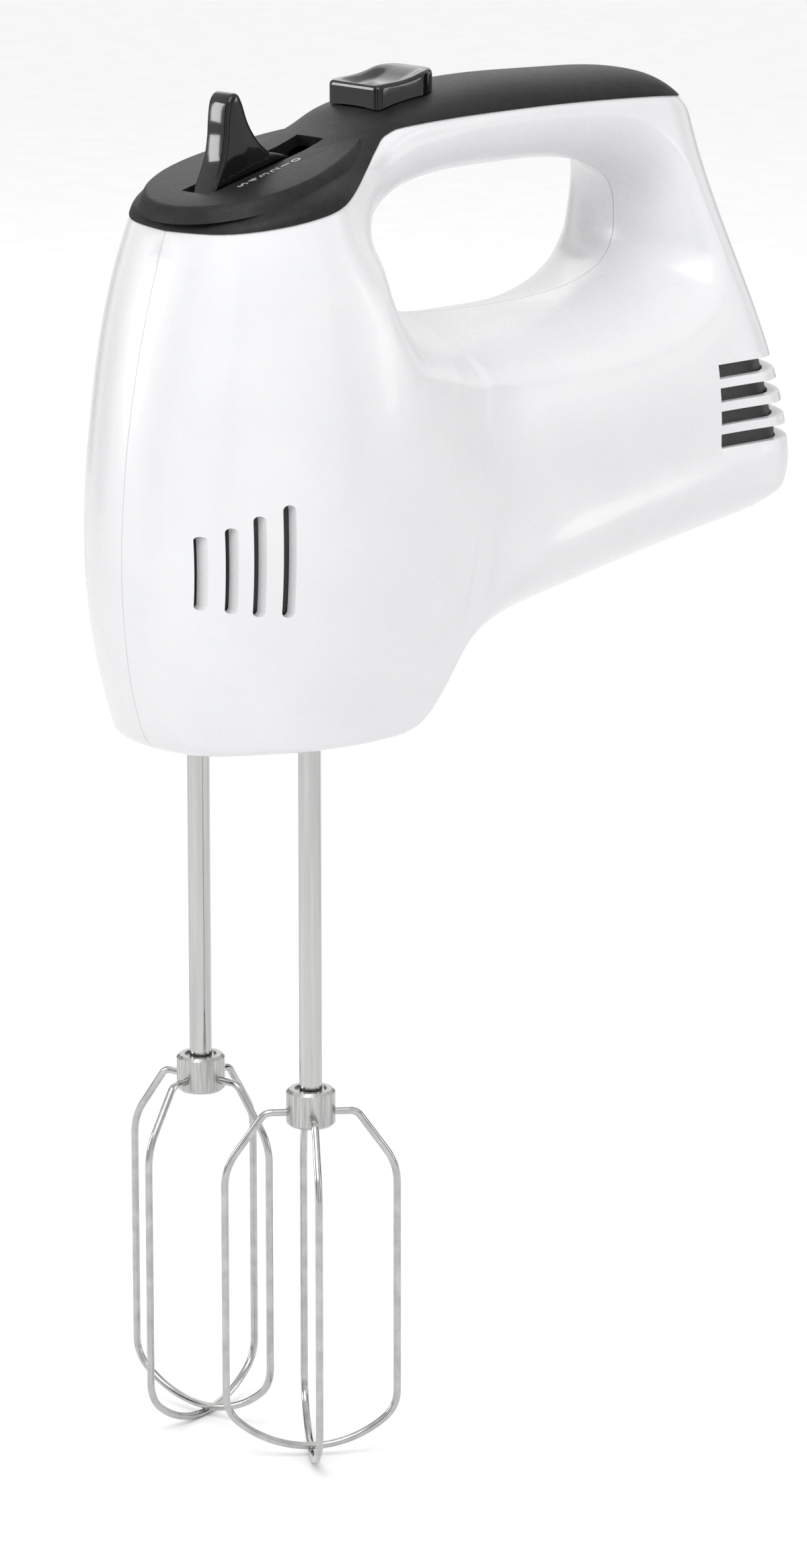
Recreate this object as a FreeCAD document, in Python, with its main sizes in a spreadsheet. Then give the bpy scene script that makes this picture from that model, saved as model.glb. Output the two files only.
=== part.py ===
import FreeCAD, Part
import math
import os
import re

# Hand mixer with two wire beaters, a worm-driven twin gearbox, a speed lever and an eject button.
# Frame: +Z up, nose towards -X, the mixer's left side towards -Y, beater tips at z = 0.

V = FreeCAD.Vector
DOC = FreeCAD.newDocument("hand_mixer")
PARTS = []

# ---------------------------------------------------------------- driving dimensions
DIMENSIONS = [
    ("beater_x", -58.0, "beater and spindle axes, along the body"),
    ("beater_half_spacing", 20.0, "each beater axis from the middle plane"),
    ("beater_shaft_radius", 2.75, "steel beater shaft"),
    ("beater_shaft_top", 222.0, "upper end of the shaft, inside its spindle"),
    ("collar_base", 84.5, "underside of the beater collar"),
    ("collar_height", 9.0, "beater collar"),
    ("collar_radius", 5.9, "beater collar"),
    ("wire_radius", 0.9, "beater wire"),
    ("cage_radius", 20.8, "widest point of a wire's centre line"),
    ("wire_exit_z", 87.6, "height where the wires leave the collar"),
    ("wall", 2.3, "housing wall"),
    ("motor_z", 232.0, "motor and worm axis, and middle of the worm wheels"),
    ("motor_shaft_radius", 3.0, "motor shaft"),
    ("worm_pitch_radius", 5.0, "worm"),
    ("wheel_teeth", 30.0, "teeth on each worm wheel"),
    ("worm_starts", 2.0, "threads on the worm"),
    ("gear_module", 1.0, "tooth size of worm and wheels"),
    ("wheel_height", 10.0, "worm wheel face"),
    ("spindle_radius", 5.0, "outside of a spindle tube"),
    ("spindle_base", 181.5, "lower end of a spindle tube"),
    ("spindle_top", 243.0, "upper end of a spindle tube"),
    ("running_clearance", 0.05, "radial clearance of shafts in their bores"),
    ("rotor_radius", 15.0, "armature"),
    ("air_gap", 0.6, "armature to stator"),
    ("stack_start", -6.0, "front of the stator stack"),
    ("stack_length", 20.0, "stator stack"),
    ("lever_x", -56.0, "speed lever pivot"),
    ("lever_z", 300.0, "speed lever pivot"),
    ("lever_width", 7.4, "speed lever"),
    ("lever_disc_radius", 16.5, "round part of the speed lever"),
    ("pivot_pin_radius", 1.5, "speed lever pin"),
    ("button_width", 18.0, "eject button"),
    ("cord_bore_radius", 3.6, "cord inlet"),
    ("panel_slope", 0.25, "rise of the lever panel per millimetre"),
]
SHEET = DOC.addObject("Spreadsheet::Sheet", "Sizes")
for row, (alias, value, meaning) in enumerate(DIMENSIONS, start=1):
    SHEET.set("A%d" % row, alias)
    SHEET.set("B%d" % row, str(value))
    SHEET.setAlias("B%d" % row, alias)
    SHEET.set("C%d" % row, meaning)
DOC.recompute()


def size(alias):
    return float(getattr(SHEET, alias))


BEATER_X = size("beater_x")
HALF_SPACING = size("beater_half_spacing")
MOTOR_Z = size("motor_z")
WALL = size("wall")
LEVER_X, LEVER_Z = size("lever_x"), size("lever_z")
SLOPE = size("panel_slope")
PANEL_START = (-72.0, 309.1)
SIDES = (("left", -1), ("right", 1))


# ---------------------------------------------------------------- document helpers
def bind(obj, **expressions):
    """Sets plain numbers directly and binds text to the sheet; words in the text are aliases."""
    for prop, value in expressions.items():
        if isinstance(value, str):
            obj.setExpression(prop, re.sub("([a-z_]+)", r"Sizes.\1", value))
        else:
            setattr(obj, prop, value)
    return obj


def turned_to(direction):
    return FreeCAD.Rotation(V(0, 0, 1), V(*direction))


def cylinder(radius, height, at, direction=(0, 0, 1)):
    """at is the centre of the base; direction points along the cylinder."""
    obj = bind(DOC.addObject("Part::Cylinder", "Cylinder"), Radius=radius, Height=height)
    obj.Placement = FreeCAD.Placement(V(*at), turned_to(direction))
    return obj


def cone(lower, upper, height, at):
    obj = bind(DOC.addObject("Part::Cone", "Cone"), Radius1=lower, Radius2=upper, Height=height)
    obj.Placement.Base = V(*at)
    return obj


def box(x, y, z):
    """Each argument is a (low, high) pair."""
    obj = bind(DOC.addObject("Part::Box", "Box"), Length=x[1] - x[0], Width=y[1] - y[0], Height=z[1] - z[0])
    obj.Placement.Base = V(x[0], y[0], z[0])
    return obj


def fuse(*shapes):
    obj = DOC.addObject("Part::MultiFuse", "Fusion")
    obj.Shapes = list(shapes)
    return obj


def cut(base, *tools):
    obj = DOC.addObject("Part::Cut", "Cut")
    obj.Base = base
    obj.Tool = tools[0] if len(tools) == 1 else fuse(*tools)
    return obj


def feature(shape):
    obj = DOC.addObject("Part::Feature", "Feature")
    obj.Shape = shape
    return obj


def sub_part(name, obj):
    """Names a finished object as one sub-part; its label is its file name."""
    obj.Label = name
    PARTS.append(obj)
    return obj


def group(*shapes):
    obj = DOC.addObject("Part::Compound", "Group")
    obj.Links = list(shapes)
    return obj


def prism(points, thickness, middle=0.0):
    """An XZ outline extruded evenly about y = middle."""
    corners = [V(x, middle - thickness / 2, z) for x, z in points]
    face = Part.Face(Part.makePolygon(corners + corners[:1]))
    return face.extrude(V(0, thickness, 0))


def smooth_outline(points, thickness, middle=0.0):
    """An XZ outline through the points as a closed curve, extruded evenly about y = middle."""
    curve = Part.BSplineCurve()
    curve.interpolate(Points=[V(x, middle - thickness / 2, z) for x, z in points], PeriodicFlag=True)
    return Part.Face(Part.Wire([curve.toShape()])).extrude(V(0, thickness, 0))


def revolved_body(name, profile, placement):
    """A PartDesign body turned about its own Z axis from a closed (radius, height) profile."""
    body = DOC.addObject("PartDesign::Body", "Body")
    plane = [f for f in body.Origin.OriginFeatures if f.Role == "XZ_Plane"][0]
    sketch = body.newObject("Sketcher::SketchObject", "Profile")
    sketch.AttachmentSupport = [(plane, "")]
    sketch.MapMode = "FlatFace"
    corners = [V(r, h, 0) for r, h in profile]
    for start, end in zip(corners, corners[1:] + corners[:1]):
        sketch.addGeometry(Part.LineSegment(start, end), False)
    turn = body.newObject("PartDesign::Revolution", "Turned")
    turn.Profile = sketch
    turn.ReferenceAxis = (sketch, ["V_Axis"])
    turn.Angle = 360.0
    body.Placement = placement
    return sub_part(name, body)


def coil_spring(wire, radius, turns, length):
    """A helical spring standing on z = 0, its ends left open."""
    helix = Part.makeHelix(length / turns, length, radius)
    ring = Part.Wire([Part.Circle(V(radius, 0, 0), V(0, 1, 0), wire).toShape()])
    return Part.Wire(helix.Edges).makePipeShell([ring], True, True)


# ---------------------------------------------------------------- housing skin
NOSE_FRONT_X, NOSE_FRONT_Z = -98.5, 221.0
TAIL_X, TAIL_Z = 98.5, 230.0
NOSE_CENTRE_X = -50.0
TAIL_ROUND = 16.0
HANDLE_HALF_WIDTH = 17.5
HOLE_CENTRE = (16.8, 289.4)
HOLE_HALF = (45.0, 17.4)
HOLE_POWER = 2.9
NOSE_POWER = 2.0, 2.25
EDGE_POWER = 2.3
DISH_POWER = 1.6
OUTER_ROWS, MIDDLE_ROWS, DISH_ROWS = 9, 1, 8


def front_x(z):
    rise = z - NOSE_FRONT_Z
    return NOSE_FRONT_X + (14.2 * (rise / 79) ** 2 if rise > 0 else 6.5 * (rise / 41) ** 2)


def tail_x(z):
    rise = z - TAIL_Z
    return TAIL_X - (0.236 * rise ** 2 / (rise + 6) if rise > 0 else 0.04 * rise ** 2)


def smooth(u):
    u = min(1.0, max(0.0, u))
    return u * u * (3 - 2 * u)


def half_width(x, z, inset):
    """Half-width of the body at a side-view point, before its edges are rounded."""
    if z < 235:
        nose = 42.0 - 8.0 * ((235 - z) / 57) ** 2
    else:
        nose = 42.0 - 12.0 * ((z - 235) / 72) ** 2
    rear = 38.0 - (38.0 - HANDLE_HALF_WIDTH) * smooth((z - 238) / 84) ** 1.1
    if z < 232:
        rear = 38.0 - ((232 - z) / 30) ** 2
    high = smooth((z - 272) / 30)
    start, length = -48 - 13 * high, 46 - 14 * high
    mix = smooth((x - start) / length)
    width = (1 - mix) * nose + mix * rear - inset
    front, tail = front_x(z) + inset, tail_x(z) - inset
    if x < NOSE_CENTRE_X:
        power = NOSE_POWER[0] + (NOSE_POWER[1] - NOSE_POWER[0]) * smooth((z - 250) / 50)
        share = min(1.0, (NOSE_CENTRE_X - x) / (NOSE_CENTRE_X - front))
        width *= (1 - share ** power) ** (1 / power)
    reach = TAIL_ROUND - 0.3 * inset
    if x > tail - reach:
        width *= math.sqrt(max(0.0, 1 - ((x - tail + reach) / reach) ** 2))
    return width


def on_front(z):
    return (front_x(z), z)


def on_tail(z):
    return (tail_x(z), z)


# Stations round the side view, handle first, then head, nose, underside and tail:
# outer point, angle of the hole's point, edge radius, reach of the edge, depth of the dish.
STATIONS = [
    ((59, 326.2), 50, 8, 8, 12), ((38, 327.4), 68, 8, 8, 12), ((15, 328.0), 90, 8, 8, 12),
    ((-2, 327.2), 108, 8, 8, 12), ((-15, 326.1), 121, 7, 7, 12), ((-25, 324.0), 131, 6, 6, 13),
    ((-35, 319.6), 141, 6, 6, 14), ((-47, 315.4), 151, 8, 8, 16), ((-60, 311.9), 158, 9, 11, 18),
    ((-71, 308.6), 164, 9, 15, 19), ((-79, 305.4), 169, 7, 24, 20), ((-83.6, 301.4), 173, 3, 34, 20),
    (on_front(290), 177, 0, 42, 20), (on_front(274), 182, 0, 44, 20), (on_front(257), 187, 0, 44, 20),
    (on_front(239), 192, 0, 45, 20), (on_front(221), 197, 0, 45, 20), (on_front(203), 202, 0, 45, 20),
    (on_front(190), 206, 1, 45, 19), ((-91.5, 181.3), 210, 2, 40, 18), ((-87, 178.1), 214, 3, 30, 17),
    ((-76, 177.5), 219, 4, 16, 16), ((-62, 177.3), 224, 4, 8, 15), ((-49, 177.2), 229, 4, 6, 15),
    ((-40.5, 177.7), 233, 4, 6, 15), ((-35.3, 179.6), 237, 5, 7, 15), ((-30.5, 184.5), 241, 8, 10, 14),
    ((-25, 190.5), 245, 12, 14, 14), ((-16, 194.6), 251, 16, 18, 14), ((0, 198.8), 260, 19, 21, 13.5),
    ((21, 202.4), 270, 20, 22, 13), ((45, 206.4), 281, 20, 22, 13), ((68, 210.4), 292, 18, 22, 13),
    ((84, 213.9), 302, 14, 22, 13), ((93, 218.3), 311, 7, 22, 13), ((97.2, 224), 318, 3, 20, 13),
    ((98.5, 231), 325, 0, 18, 13), (on_tail(243), 332, 0, 18, 13), (on_tail(257), 339, 0, 18, 13),
    (on_tail(271), 346, 0, 16, 12), (on_tail(285), 354, 0, 15, 11), (on_tail(299), 2, 0, 13, 9),
    ((79.2, 309.5), 14, 1, 10, 9), ((75.6, 318), 26, 4, 9, 10), ((69, 323.4), 38, 7, 9, 11),
]


def hole_point(degrees, inset):
    angle = math.radians(degrees)
    x, z = [math.copysign(abs(v) ** (2 / HOLE_POWER), v) for v in (math.cos(angle), math.sin(angle))]
    return HOLE_CENTRE[0] + (HOLE_HALF[0] + inset) * x, HOLE_CENTRE[1] + (HOLE_HALF[1] + inset) * z


def round_off(u, power):
    """0 at u = 0, rising along a superellipse to 1 at u = 1 and beyond."""
    return 1.0 if u >= 1 else max(0.0, 1 - (1 - max(u, 0.0)) ** power) ** (1 / power)


def skin_rows(inset):
    """Rings of points from the outer outline over the left side to the handle hole."""
    count = OUTER_ROWS + MIDDLE_ROWS + DISH_ROWS + 2
    rows = [[] for _ in range(count)]
    for i, (outer, angle, edge, reach, dish) in enumerate(STATIONS):
        before, after = STATIONS[i - 1][0], STATIONS[(i + 1) % len(STATIONS)][0]
        along = V(after[0] - before[0], 0, after[1] - before[1]).normalize()
        start = V(outer[0] - inset * along.z, 0, outer[1] + inset * along.x)
        hole_x, hole_z = hole_point(angle, inset)
        spoke = V(hole_x, 0, hole_z) - start
        span = spoke.Length
        spoke.normalize()
        edge = max(edge - inset, 1.0) if edge else 0.0
        reach, dish = max(reach - inset, 2.0), max(dish - 0.6 * inset, 2.5)
        shrink = min(1.0, 0.98 * span / (reach + dish))
        reach, dish = reach * shrink, dish * shrink
        edge = min(edge, reach)
        steps = [reach * (1 - math.cos(math.pi / 2 * k / OUTER_ROWS)) for k in range(OUTER_ROWS + 1)]
        steps += [(reach + span - dish) / 2] * MIDDLE_ROWS
        steps += [span - dish * (1 - math.sin(math.pi / 2 * k / DISH_ROWS)) for k in range(DISH_ROWS + 1)]
        for k, step in enumerate(steps):
            point = start + spoke * step
            width = half_width(point.x, point.z, inset)
            if edge:
                width *= round_off(step / edge, EDGE_POWER)
            width *= round_off((span - step) / dish, DISH_POWER)
            if k in (0, count - 1):
                width = 0.0
            rows[k].append(V(point.x, -width, point.z))
    return rows


def through_rings(rows, knots):
    """A smooth surface through closed rings of points, with its first and last edge as wires."""
    rings = []
    for row in rows:
        ring = Part.BSplineCurve()
        ring.interpolate(Points=row, PeriodicFlag=True, Parameters=knots)
        rings.append(ring)
    poles = []
    for column in zip(*[ring.getPoles() for ring in rings]):
        across = Part.BSplineCurve()
        across.interpolate(Points=list(column), Parameters=[float(k) for k in range(len(rows))])
        poles.append(across.getPoles())
    surface = Part.BSplineSurface()
    surface.buildFromPolesMultsKnots(
        poles, rings[0].getMultiplicities(), across.getMultiplicities(),
        rings[0].getKnots(), across.getKnots(), True, False, rings[0].Degree, across.Degree)
    return surface.toShape(), Part.Wire([rings[0].toShape()]), Part.Wire([rings[-1].toShape()])


def sewn_solid(*faces):
    closed = Part.Compound(list(faces))
    closed.sewShape()
    solid = Part.Solid(closed.Shells[0])
    if solid.Volume < 0:
        solid.reverse()
    return solid


def skin_half(inset):
    """The left half of the body as a solid, its skin drawn in by inset."""
    rows = skin_rows(inset)
    outline = rows[0]
    knots = [0.0]
    for i, point in enumerate(outline):
        knots.append(knots[-1] + math.sqrt((outline[(i + 1) % len(outline)] - point).Length))
    skin, outer_edge, hole_edge = through_rings(rows, knots)
    return sewn_solid(skin, Part.makeFace([outer_edge, hole_edge], "Part::FaceMakerBullseye"))


def mirrored(shape):
    return shape.mirror(V(0, 0, 0), V(0, 1, 0))


def both_halves(left):
    return left.fuse(mirrored(left))


# The line between the white housing and the black cover, from the nose to the rear of the handle.
COVER_LINE = [
    (-84.5, 300.8), (-78, 301.8), (-65, 304.2), (-55, 306.6), (-47, 309.6), (-40, 312.9), (-34, 316.6),
    (-29, 319.6),
    (-22, 321.1), (0, 321.8), (30, 321.7), (60, 320.6), (74, 319.1), (86, 317.3),
]


def above_cover_line():
    curve = Part.BSplineCurve()
    curve.interpolate(Points=[V(x, -60, z) for x, z in COVER_LINE])
    start, end = curve.StartPoint, curve.EndPoint
    corners = [end, V(120, -60, end.z), V(120, -60, 350), V(-120, -60, 350), V(-120, -60, start.z), start]
    edges = [curve.toShape()] + [Part.makeLine(a, b) for a, b in zip(corners, corners[1:])]
    return Part.Face(Part.Wire(edges)).extrude(V(0, 120, 0))


OUTER_HALF = skin_half(0.0)
INNER_HALF = skin_half(WALL)
WAIST_STRIP = Part.makeBox(24, 18, 18, V(-52, -9, 312))
COVER_REGION = above_cover_line().fuse(WAIST_STRIP)


# Upright slots each side of the nose: middle, base, top and width.
NOSE_SLOTS = [
    (-92, 215.6, 233.0, 1.9), (-87.5, 215.0, 235.2, 2.1),
    (-82.7, 214.2, 238.0, 2.3), (-77, 213.8, 240.4, 2.6),
]


def nose_vents():
    slots = []
    for x, base, top, width in NOSE_SLOTS:
        end = width / 2
        slot = Part.makeBox(width, 42, top - base - width, V(x - end, -50, base + end))
        for z in (base + end, top - end):
            slot = slot.fuse(Part.makeCylinder(end, 42, V(x, -50, z), V(0, 1, 0)))
        slots.append(slot.removeSplitter())
    return slots


def tail_vents():
    """Four level slots wrapped round each rear corner."""
    return [Part.makeBox(48, 34, 3.5, V(63, -44, 235.6 + 5.7 * k)) for k in range(4)]


SCREW_PLACES = [(-73, 266), (-11, 203.5), (72, 223), (74, 300)]
BOSS_RADIUS = 3.6
SCREW_HEAD_Y = 9.0


def housing_shell(side):
    """One half of the housing; the right half takes the screw heads, the left half their threads."""
    hollow = INNER_HALF
    drills = []
    for x, z in SCREW_PLACES:
        if side > 0:
            hollow = hollow.cut(Part.makeCylinder(BOSS_RADIUS, 60, V(x, -60, z), V(0, 1, 0)))
            drills.append(Part.makeCylinder(1.7, 61, V(x, -60, z), V(0, 1, 0)).fuse(
                Part.makeCylinder(3.1, 60 - SCREW_HEAD_Y, V(x, -60, z), V(0, 1, 0))))
        else:
            post = Part.makeCylinder(BOSS_RADIUS, 16, V(x, -16, z), V(0, 1, 0))
            rib = Part.makeBox(2 * BOSS_RADIUS - 2, 58, 2, V(x - BOSS_RADIUS + 1, -60, z - 1))
            hollow = hollow.cut(post.fuse(rib))
            drills.append(Part.makeCylinder(1.5, 14, V(x, -14, z), V(0, 1, 0)))
    drills.append(Part.makeCylinder(6.6, 8, V(BEATER_X, -HALF_SPACING, 175), V(0, 0, 1)))
    drills.append(Part.makeCylinder(8.7, 20, V(80, 0, 271), V(1, 0, 0)))
    shell = OUTER_HALF.cut(hollow).cut(drills + nose_vents() + tail_vents() + [COVER_REGION])
    shell = max(shell.Solids, key=lambda s: s.Volume)
    return mirrored(shell) if side > 0 else shell


for word, side in SIDES:
    sub_part(word + "_housing_shell", feature(housing_shell(side)))


# ---------------------------------------------------------------- black cover with the lever panel
def panel_z(x):
    return PANEL_START[1] + SLOPE * (x - PANEL_START[0])


def on_panel(shape, x):
    """Tilts a shape made about the origin so that it lies on the lever panel at x."""
    shape.rotate(V(0, 0, 0), V(0, 1, 0), -math.degrees(math.atan(SLOPE)))
    shape.translate(V(x, 0, panel_z(x)))
    return shape


# Half of the raised panel's outline, front to rear: distance along the body and half-breadth.
PANEL_HALF = [
    (-82.6, 0), (-81.6, 6.5), (-78.6, 12.6), (-73.5, 17.8), (-66.5, 21.0), (-58.5, 21.6), (-50.5, 19.9),
    (-43, 17.0), (-36, 13.2), (-30.5, 8.0), (-28.2, 0),
]


def panel_ring(spread, drop):
    """The panel's outline grown by spread and set drop below the panel."""
    middle = -57.0
    half = []
    for x, y in PANEL_HALF:
        reach = math.hypot(x - middle, y)
        grow = (reach + spread) / reach
        x, y = middle + (x - middle) * grow, y * grow
        half.append(V(x, y, panel_z(x) - drop))
    points = half + [V(p.x, -p.y, p.z) for p in half[-2:0:-1]]
    ring = Part.BSplineCurve()
    ring.interpolate(Points=points, PeriodicFlag=True)
    return ring


def island():
    """The raised panel that the lever stands on, with a bevel all round."""
    rings = [panel_ring(0.0, -0.4), panel_ring(0.8, 0.0), panel_ring(2.6, 3.0)]
    return Part.makeLoft([Part.Wire([ring.toShape()]) for ring in rings], True, True)


def top_cover():
    outer, inner = both_halves(OUTER_HALF), both_halves(INNER_HALF)
    cover = outer.fuse(island()).common(COVER_REGION).cut(inner)
    cover = cover.cut(on_panel(Part.makeBox(37.4, 9.4, 16, V(-18.7, -4.7, -8)), -56.8))
    cover = cover.cut(Part.makeBox(13, 8.4, 20, V(-25.5, -4.2, 315)))
    return max(cover.Solids, key=lambda s: s.Volume)


sub_part("top_cover", feature(top_cover()))


# ---------------------------------------------------------------- speed lever and its switch
FIN = [
    (-73.4, 307.6), (-71.0, 311.8), (-68.6, 317.5), (-68.0, 324.0), (-67.4, 329.0), (-65.8, 331.3),
    (-63.6, 330.8), (-62.0, 327.0), (-59.6, 322.2), (-55.2, 318.2), (-49.8, 315.2), (-48, 306),
    (-56, 300), (-66, 300),
]


def speed_lever():
    width = size("lever_width")
    disc = Part.makeCylinder(size("lever_disc_radius"), width, V(LEVER_X, -width / 2, LEVER_Z), V(0, 1, 0))
    lever = smooth_outline(FIN, width).fuse(disc)
    bore = size("pivot_pin_radius") + size("running_clearance")
    return lever.cut(Part.makeCylinder(bore, 40, V(LEVER_X, -20, LEVER_Z), V(0, 1, 0)))


sub_part("speed_lever", feature(speed_lever()))
sub_part("lever_pivot_pin", cylinder("pivot_pin_radius", 16.4, (LEVER_X, -8.2, LEVER_Z), (0, 1, 0)))

switch_base = box((-69, -43), (-9, 9), (271, 280))
cheeks = [box((-60, -52), (y, y + 3), (280, 304)) for y in (-8.2, 5.2)]
pin_hole = cylinder("pivot_pin_radius", 40, (LEVER_X, -20, LEVER_Z), (0, 1, 0))
sub_part("speed_switch", cut(fuse(switch_base, *cheeks), pin_hole))
sub_part("switch_contacts", group(*[
    box((x, x + 2.2), (-6, 6), (280, 281.4)) for x in (-67, -63, -50, -46)]))


# ---------------------------------------------------------------- eject button, slider, yoke, springs
BUTTON_GAP = 0.4


def eject_button():
    """A wedge with a flat low front, a rounded rear and a shallow finger dish."""
    half = size("button_width") / 2
    plan = Part.makeBox(13.5, 2 * half, 14, V(-25.5, -half, 320)).fuse(
        Part.makeCylinder(half, 14, V(-12, 0, 320)))
    side = [(-27, 321), (-27, 329.2), (-20, 330.0), (-11, 331.7), (-6, 332.3), (-2, 330.9), (-2, 321)]
    button = plan.common(prism(side, 40)).cut(both_halves(skin_half(-BUTTON_GAP)))
    dish = Part.makeSphere(26, V(-17, 0, 354.8))
    return button.cut(dish).fuse(Part.makeBox(6, 6, 13, V(-19, -3, 316.4)))


ARM_Y = (9.4, 12.0)
WEDGE_LINE = 269.5
WEDGE_GAP = 0.45


def wedge_below(limit):
    """Everything under the 45 degree line x + z = limit."""
    return prism([(-60, limit + 60), (-60, 240), (-20, 240), (-20, limit + 20)], 60)


def ejector_slider():
    """A plate under the handle cover with two arms that end in wedges over the yoke's posts."""
    plate = Part.makeBox(14.6, 20, 2.2, V(-29.6, -10, 314.2))
    shape = plate.fuse(Part.makeBox(6, 22.4, 1.8, V(-35, -11.2, 312.6)))
    for side in (-1, 1):
        low = min(side * ARM_Y[0], side * ARM_Y[1])
        shape = shape.fuse(Part.makeBox(3, 2.6, 3, V(-35, low, 310.2)))
        shape = shape.fuse(Part.makeBox(12, 2.6, 1.8, V(-44, low, 310.2)).cut(wedge_below(WEDGE_LINE)))
    return shape.removeSplitter()


def ejector_yoke():
    """A plate over both push pins, with a post each side of the lever for the slider's wedges."""
    shape = Part.makeBox(22, 48, 2.5, V(-63, -24, 256))
    for side in (-1, 1):
        shape = shape.fuse(Part.makeCylinder(2.6, 6, V(BEATER_X, side * HALF_SPACING, 250)))
        low = min(side * ARM_Y[0], side * ARM_Y[1])
        post = Part.makeBox(4, 2.6, 55.5, V(-46, low, 256))
        shape = shape.fuse(post.common(wedge_below(WEDGE_LINE - WEDGE_GAP)))
    return shape.removeSplitter()


sub_part("eject_button", feature(eject_button()))
sub_part("ejector_slider", feature(ejector_slider()))
sub_part("ejector_yoke", feature(ejector_yoke()))
yoke_spring = coil_spring(0.5, 4.0, 6, 12.4)
yoke_spring.translate(V(-46, 0, 242.8))
sub_part("yoke_return_spring", feature(yoke_spring))


# ---------------------------------------------------------------- worm gearbox
MODULE = size("gear_module")
STARTS = int(size("worm_starts"))
TEETH = int(size("wheel_teeth"))
WORM_RADIUS = size("worm_pitch_radius")
WHEEL_RADIUS = MODULE * TEETH / 2
LEAD = STARTS * math.pi * MODULE
WORM_START, WORM_END = -72.0, -44.0


def worm():
    """Two-start right-hand worm: one cross-section carried along the axis as it turns."""
    root, tip = WORM_RADIUS - 1.15, WORM_RADIUS + 0.85
    points_per_start, steps_per_turn = 8, 12
    turns = (WORM_END - WORM_START) / LEAD
    count = int(round(turns * steps_per_turn))
    rings = []
    for k in range(count + 1):
        x = WORM_START + (WORM_END - WORM_START) * k / count
        crest = 2 * math.pi * (x - BEATER_X) / LEAD
        points = []
        for i in range(STARTS * points_per_start):
            angle = 2 * math.pi * i / (STARTS * points_per_start)
            wave = 0.5 + 0.5 * math.cos(STARTS * angle)
            radius = root + (tip - root) * smooth(1.3 * wave - 0.36)
            turn = angle + crest
            points.append(V(x, radius * math.cos(turn), MOTOR_Z + radius * math.sin(turn)))
        rings.append(points)
    thread, first, last = through_rings(rings, [float(i) for i in range(len(points) + 1)])
    thread = sewn_solid(thread, Part.Face(first), Part.Face(last))
    bore = Part.makeCylinder(size("motor_shaft_radius"), 40, V(WORM_START - 5, 0, MOTOR_Z), V(1, 0, 0))
    return thread.cut(bore)


def worm_wheel(side):
    """Right-hand helical wheel with a gap facing the worm at its middle height."""
    half_height = size("wheel_height") / 2
    pitch = 2 * math.pi / TEETH
    tip, root = WHEEL_RADIUS + 0.85, WHEEL_RADIUS - 1.2
    tip_share, root_share = 0.10, 0.23
    twist_per_mm = math.tan(math.atan(LEAD / (2 * math.pi * WORM_RADIUS))) / WHEEL_RADIUS
    rings = []
    for height in (-half_height, 0.0, half_height):
        corners = []
        for tooth in range(TEETH):
            middle = (tooth + 0.5) * pitch + math.pi / 2 + twist_per_mm * height
            flanks = ((root, -root_share), (tip, -tip_share), (tip, tip_share), (root, root_share))
            for radius, share in flanks:
                angle = middle + share * pitch
                corners.append(V(radius * math.cos(angle), radius * math.sin(angle), height))
        rings.append(Part.makePolygon(corners + corners[:1]))
    wheel = Part.makeLoft(rings, True, True)
    wheel = wheel.cut(Part.makeCylinder(size("spindle_radius"), 40, V(0, 0, -20)))
    wheel.translate(V(BEATER_X, side * HALF_SPACING, MOTOR_Z))
    return wheel


sub_part("worm", feature(worm()))
for word, side in SIDES:
    y = side * HALF_SPACING
    sub_part(word + "_worm_wheel", feature(worm_wheel(side)))
    tube = cylinder("spindle_radius", "spindle_top - spindle_base", (BEATER_X, y, size("spindle_base")))
    bore = cylinder("beater_shaft_radius + running_clearance", 80, (BEATER_X, y, 175))
    key_slot = box((BEATER_X - 0.95, BEATER_X + 0.95), (y - 6, y + 6), (180, 188.4))
    sub_part(word + "_spindle", cut(tube, bore, key_slot))
    pin = cylinder("beater_shaft_radius", 27.0, (BEATER_X, y, size("beater_shaft_top") + 0.4))
    head = cylinder(4.4, 1.4, (BEATER_X, y, 248.2))
    sub_part(word + "_push_pin", fuse(pin, head))


def gearbox_frame():
    """An open cradle: bottom and top plates joined by a front and a rear wall."""
    main = Part.makeBox(33.5, 58, 56, V(-70, -29, 186)).fuse(Part.makeBox(11, 32, 56, V(-80, -16, 186)))
    room = Part.makeBox(30.5, 70, 48, V(-70.5, -35, 190)).fuse(Part.makeBox(7, 70, 48, V(-76.5, -35, 190)))
    frame = main.cut(room)
    for side in (-1, 1):
        frame = frame.cut(Part.makeCylinder(7, 80, V(BEATER_X, side * HALF_SPACING, 180)))
    frame = frame.cut(Part.makeCylinder(5, 10, V(-84, 0, MOTOR_Z), V(1, 0, 0)))
    frame = frame.cut(Part.makeCylinder(8, 10, V(-44, 0, MOTOR_Z), V(1, 0, 0)))
    return frame.removeSplitter()


def ring_at(outer, inner, length, at, direction=(0, 0, 1)):
    return cut(cylinder(outer, length, at, direction), cylinder(inner, length, at, direction))


sub_part("gearbox_frame", feature(gearbox_frame()))
for level, z in (("lower", 186.0), ("upper", 238.0)):
    sub_part(level + "_spindle_bushes", group(*[
        ring_at(7.0, "spindle_radius + running_clearance", 4.0, (BEATER_X, side * HALF_SPACING, z))
        for side in (-1, 1)]))


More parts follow.
